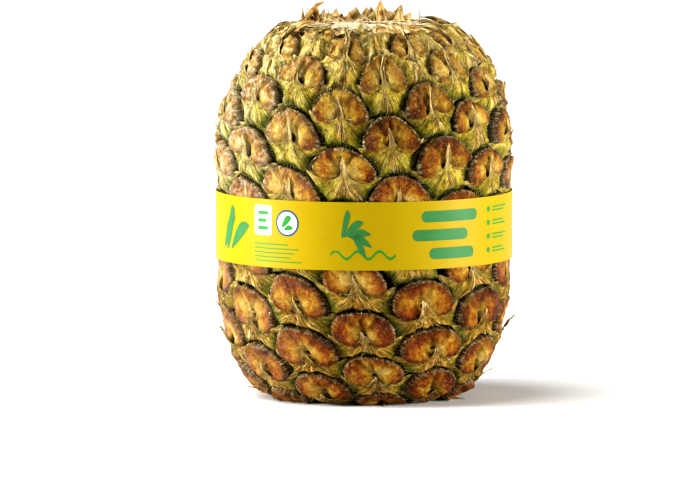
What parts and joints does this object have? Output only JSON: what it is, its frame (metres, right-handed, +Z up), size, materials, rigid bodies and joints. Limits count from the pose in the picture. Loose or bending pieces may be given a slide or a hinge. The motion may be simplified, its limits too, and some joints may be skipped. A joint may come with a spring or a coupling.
{
  "type": "crownless pineapple",
  "caption": "Whole pineapple standing on its base, its crown twisted off to a scar ringed with dried leaf stubs, with a printed paper band round its middle.",
  "frame": {"origin": "centre of the fruit's base, on the cut stem's flat face", "axes": "+Z up along the fruit's axis, -Y towards the side the picture shows"},
  "size_m": [0.123, 0.1234, 0.1642],
  "materials": {
    "rind": "waxy olive-brown pineapple rind with dry tan bracts",
    "paper": null
  },
  "bodies": {
    "root": {"fruit": "rind", "band": "paper"}
  },
  "joints": []
}
